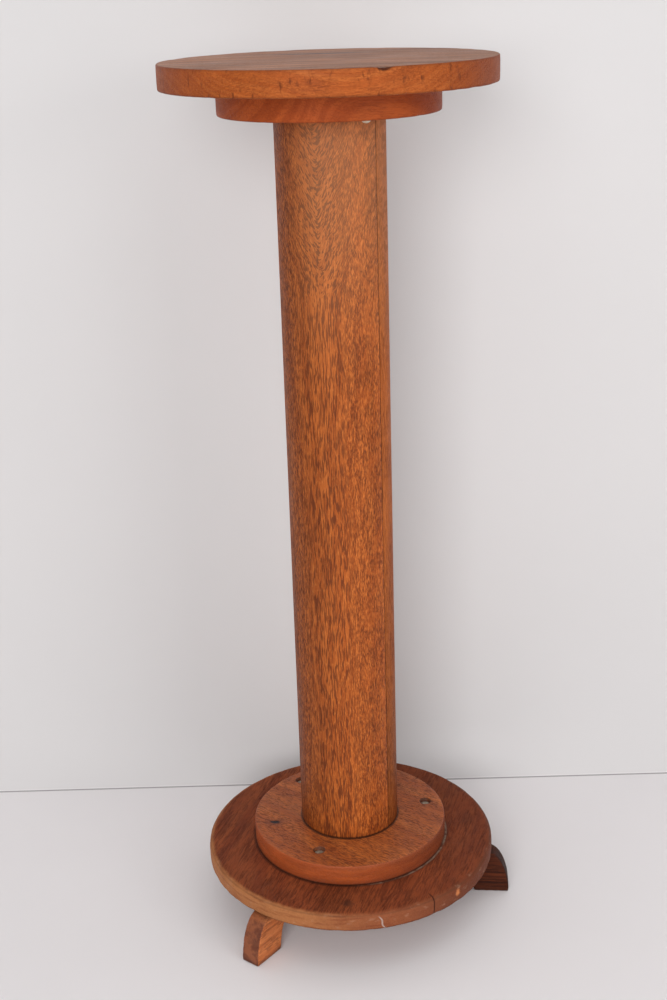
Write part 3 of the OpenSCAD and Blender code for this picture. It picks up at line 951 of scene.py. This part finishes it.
def column_oak(name, face_turn, pith_through, look, seed):
    """Oak of an upright board, face_turn being the way its face looks. Dark dashes cover the middle of
    the face, and fine specks and pale rays its sides."""
    s = Shader(name)
    b = Board(s, (0, 0, 1), tuple(bearing(face_turn)), 0.0, pith_through, 3.0, seed)
    p, from_middle = cathedral(s, b, look, seed)
    ring = s.lumps((p, seed * 2.9, b.along), (look["ring"], 1, 260), 1.0)
    base = s.mix(s.ramp(ring, 0.34, 0.66), look["mid"], look["light"])
    middle = s.ramp(from_middle, look["middle_w"] * 0.6, look["middle_w"] * 1.5, 1.0, 0.0)
    side, deep = (b.through, b.across) if look["edge_on"] else (b.across, b.through)
    dash = column_dashes(s, b, p, side, deep, look, seed)
    specks = b.streaks(side, deep, 0.95, 4.5, 1.2, seed + 2, 2.0, 0.6)
    speck = s.ramp(specks, 0.49, 0.58)
    ray = s.lumps((b.across, 0.0, b.along), (11, 1, 22), 1.0, 0.5, 1.0)
    ray = s.times(s.ramp(ray, 0.48, 0.6), s.ramp(b.across, 20.0, 36.0))
    base = s.stain(base, ray, look["ray"], look["ray_colour"])
    base = s.stain(base, s.ramp(specks, 0.46, 0.36), look["glint"], look["glint_colour"])
    calm = s.scale_add(ray, -0.4, 1.0)
    left = s.ramp(b.across, -10.0, -34.0)
    share = s.times(s.inverse(middle), s.scale_add(left, look["left_speck"], look["speck"]))
    base = s.stain(base, s.times(speck, share), calm, look["pore"])
    share = s.scale_add(middle, look["dash"] - look["side_dash"], look["side_dash"])
    base = s.stain(base, s.times(dash, share), calm, look["pore"])
    fibre = b.streaks(b.across, b.through, 0.8, 18.0, 0.8, seed + 3, 2.0, 0.6)
    base = s.tone(base, fibre, 0.5)
    patch = s.lumps((b.across, b.through, b.along), (22, 22, 110), 3.0, 0.55)
    base = s.tone(base, patch, look["patch"])
    # Painted shade: the board darkens towards its left side (-across) and lightens towards its right.
    base = s.tone(base, s.ramp(b.across, -46.0, 30.0), look["painted_side_shade"])
    # Painted shade: darker towards the bottom of the board, lighter towards the top.
    base = s.tone(base, s.ramp(b.along, 90.0, 500.0), look["painted_low_shade"])
    base = column_stains(s, b, base)
    rough_value = s.plus(s.swing(patch, 0.25, look["rough"]), s.times(dash, 0.1))
    normal = s.bump(s.cloud((1 / 9, 1 / 9, 1 / 26)), 0.0002)
    normal = s.bump(fibre, 0.00005, normal)
    normal = s.bump(s.inverse(s.math("MAXIMUM", dash, speck)), 0.00010, normal)
    s.surface.inputs["Specular IOR Level"].default_value = look["sheen"]
    return s.close(base, rough_value, normal)


COLUMN_FACE_LOOK = {
    "light": colour(178, 94, 39), "mid": colour(156, 77, 29), "pore": colour(74, 32, 19),
    "ray_colour": colour(174, 86, 32), "glint_colour": colour(210, 128, 62), "edge_on": False,
    "ring": 4.4, "jitter": 4.0, "point": 3.0, "fan_from": 620.0, "fan": 0.0016, "wave": 150.0,
    "lift": 2.4, "slope": 0.04, "middle": -2.0, "middle_w": 20.0, "speck": 0.6, "left_speck": 0.1,
    "dash": 0.7, "side_dash": 0.38, "ray": 0.4, "glint": 0.34, "patch": 0.4, "painted_side_shade": 0.3,
    "painted_low_shade": 0.0, "rough": 0.44, "sheen": 0.15}
COLUMN_CORE_LOOK = dict(
    COLUMN_FACE_LOOK, light=colour(168, 90, 40), mid=colour(146, 73, 31), edge_on=True, fan=0.0, lift=1.0,
    slope=0.0, speck=0.3, left_speck=0.0, dash=0.4, side_dash=0.4, ray=0.0, glint=0.2, painted_side_shade=0.0,
    painted_low_shade=0.5, rough=0.46, sheen=0.06)
FOOT_LOOK = {
    "light": colour(204, 120, 66), "mid": colour(184, 100, 50), "dark": colour(112, 56, 30),
    "pore": colour(72, 36, 24), "end": colour(84, 42, 32), "end_light": colour(132, 75, 50),
    "ring": 2.6, "streak_w": 1.8, "streak_l": 14.0, "streak_from": 0.52, "streak": 0.5, "pore_w": 1.2,
    "pore_l": 7.0, "pore_from": 0.54, "pore_strength": 0.4, "fibre": 0.35, "patch": 0.6, "rough": 0.55,
    "wander": 12.0, "sheen": 0.25}
# A darker copy of the foot oak: painted shade for the right and rear feet, which stand away from the light.
SHADED_FOOT_LOOK = dict(
    FOOT_LOOK, light=colour(92, 44, 25), mid=colour(50, 23, 15), dark=colour(38, 19, 13), ring=3.6,
    sheen=0.08, end=colour(44, 22, 16), end_light=colour(64, 34, 24))


def metal(name, shade, roughness, dirt, dirt_share, metallic=1.0):
    """Old metal: fine scratches, duller patches and dirt held in its hollows."""
    s = Shader(name)
    scratch = s.cloud((9.0, 1.6, 4.0), 3.0, 0.7)
    patch = s.cloud((0.8, 0.8, 0.8), 4.0, 0.65)
    base = s.tone(shade, scratch, 0.5)
    base = s.mix(s.ramp(patch, 0.5, 0.7, 0.0, dirt_share), base, dirt)
    hollow = s.ramp(s.geometry.outputs["Pointiness"], 0.42, 0.5, 1.0, 0.0)
    base = s.stain(base, hollow, 0.8, dirt)
    value = s.scale_add(patch, 0.35, roughness)
    normal = s.bump(scratch, 0.00004)
    normal = s.bump(patch, 0.0001, normal)
    return s.close(base, value, normal, metallic)


# ---- stage ----


def plain_paint(name, floor, wall):
    """Matt pale paint that can't be seen from its back, so that no view is blocked."""
    s = Shader(name)
    # Painted shade: a thin grey line where the floor turns up into the wall.
    corner_shade = s.times(s.ramp(s.z, 0.01, 0.2), s.ramp(s.z, 0.8, 1.6, 1.0, 0.0))
    base = s.mix(corner_shade, s.mix(s.ramp(s.z, 1.0, 3.0), floor, wall), colour(160, 156, 156))
    s.close(s.tone(base, s.cloud((0.004, 0.004, 0.004), 3.0), 0.05), 0.6)
    s.surface.inputs["Specular IOR Level"].default_value = 0.2
    clear = s.tree.nodes.new("ShaderNodeBsdfTransparent")
    either = s.tree.nodes.new("ShaderNodeMixShader")
    s.tree.links.new(s.geometry.outputs["Backfacing"], either.inputs[0])
    s.tree.links.new(s.surface.outputs[0], either.inputs[1])
    s.tree.links.new(clear.outputs[0], either.inputs[2])
    s.tree.links.new(either.outputs[0], s.tree.nodes["Material Output"].inputs["Surface"])
    return s.material


def build_backdrop(rig):
    """Pale floor that meets a wall close behind the stand."""
    bm = bmesh.new()
    half, front, back, bend, high = 4.0, -4.2, 0.207, 0.002, 4.0
    line = [(front, 0.0), (back - bend, 0.0)]
    line += [(back - bend + bend * math.sin(math.radians(a)), bend - bend * math.cos(math.radians(a)))
             for a in range(15, 90, 15)]
    line += [(back, bend), (back, high)]
    rows = [[bm.verts.new((x, y, z)) for x in (-half, half)] for y, z in line]
    for a, b in zip(rows, rows[1:]):
        bm.faces.new((a[0], a[1], b[1], b[0]))
    obj = new_object("floor_and_wall", bm)
    obj.data.materials.append(plain_paint("pale_paint", colour(240, 237, 238), colour(218, 216, 216)))
    obj.parent = rig


def area_light(rig, name, place, aim, size, watts):
    data = bpy.data.lights.new(name, "AREA")
    data.shape = "RECTANGLE"
    data.size, data.size_y = size
    data.energy = watts
    obj = bpy.data.objects.new(name, data)
    obj.location = place
    obj.rotation_euler = (Vector(aim) - Vector(place)).to_track_quat("-Z", "Y").to_euler()
    obj.parent = rig
    bpy.context.scene.collection.objects.link(obj)


def build_studio():
    """The wall and the lights hang on a rig that turns to face the camera, so each view is lit alike."""
    rig = bpy.data.objects.new("studio_rig", None)
    bpy.context.scene.collection.objects.link(rig)
    face = rig.constraints.new("LOCKED_TRACK")
    face.target = bpy.context.scene.camera
    face.track_axis = "TRACK_NEGATIVE_Y"
    face.lock_axis = "LOCK_Z"
    build_backdrop(rig)
    aim = (0, 0, TOP_HIGH * 0.5)
    area_light(rig, "window", (-0.5, -2.6, 1.3), aim, (1.3, 1.3), 35)
    area_light(rig, "fill", (1.8, -1.9, 0.9), aim, (1.4, 1.4), 15)
    area_light(rig, "ceiling", (0.0, -0.9, 2.8), (0, 0, 0), (2.4, 2.0), 10)
    world = bpy.data.worlds.new("studio")
    world.use_nodes = True
    world.node_tree.nodes["Background"].inputs[0].default_value = (1.0, 1.0, 1.0, 1.0)
    world.node_tree.nodes["Background"].inputs[1].default_value = 0.4
    bpy.context.scene.world = world


def build_camera():
    yaw, pitch, roll = CAMERA_YAW, CAMERA_PITCH, CAMERA_ROLL
    forward = Vector((math.sin(yaw) * math.cos(pitch), math.cos(yaw) * math.cos(pitch), -math.sin(pitch)))
    right = Vector((math.cos(yaw), -math.sin(yaw), 0.0))
    up = right.cross(forward)
    x = right * math.cos(roll) + up * math.sin(roll)
    y = up * math.cos(roll) - right * math.sin(roll)
    turn = Matrix((x, y, -forward)).transposed().to_4x4()
    data = bpy.data.cameras.new("camera")
    data.sensor_fit = "VERTICAL"
    data.sensor_height = CAMERA_SENSOR_HEIGHT
    data.lens = CAMERA_LENS
    data.clip_start = 0.01
    obj = bpy.data.objects.new("camera", data)
    obj.matrix_world = Matrix.Translation(CAMERA_PLACE) @ turn
    bpy.context.scene.collection.objects.link(obj)
    bpy.context.scene.camera = obj


# ---- the stand ----


def build_stand():
    build_top(top_oak())
    build_upper_flange(upper_flange_oak())
    back_turn = COLUMN_TURN + 180
    build_column({
        "column_front_board": column_oak("finish_oak_column_face", COLUMN_TURN, 96.0, COLUMN_FACE_LOOK, 2.0),
        "column_core_board": column_oak("finish_oak_column_core", COLUMN_TURN, 130.0, COLUMN_CORE_LOOK, 6.0),
        "column_back_board": column_oak("finish_oak_column_back", back_turn, 100.0, COLUMN_FACE_LOOK, 11.0),
    })
    build_lower_flange(lower_flange_oak())
    build_base(base_oak())
    build_foot("front_foot", 71, foot_oak("finish_oak_front_foot", "front_foot", FOOT_LOOK, 21.0))
    build_foot("right_foot", 74, foot_oak("finish_oak_right_foot", "right_foot", SHADED_FOOT_LOOK, 23.0))
    build_foot("rear_foot", 77, foot_oak("finish_oak_rear_foot", "rear_foot", SHADED_FOOT_LOOK, 25.0))


def dress_metal():
    worn_screw = metal("finish_screw_steel", colour(206, 196, 176), 0.24, colour(84, 68, 54), 0.4, 0.6)
    steel = metal("finish_mild_steel", colour(150, 150, 150), 0.28, colour(70, 60, 52), 0.4)
    bright = metal("finish_bearing_steel", colour(196, 198, 202), 0.14, colour(96, 90, 84), 0.15)
    bronze = metal("finish_bronze", colour(186, 138, 78), 0.24, colour(86, 58, 34), 0.35)
    brass = metal("finish_cage_brass", colour(200, 160, 88), 0.24, colour(92, 68, 38), 0.3)
    for node in ("top_screws", "flange_screws", "long_foot_screws", "short_foot_screws", "column_screws",
                 "pivot_plate_screws"):
        dress(node, worn_screw, 0.25 * MM)
    for node in ("pivot_plate", "pivot_stud", "retaining_washer", "castle_nut", "split_pin"):
        dress(node, steel)
    for node in ("upper_race", "lower_race", "bearing_balls"):
        dress(node, bright)
    for node in ("bearing_balls", "split_pin"):
        weld(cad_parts[node])
    dress("pivot_bush", bronze)
    dress("ball_cage", brass)


build_stand()
dress_metal()
build_camera()
build_studio()
bpy.context.scene.view_settings.view_transform = "Standard"
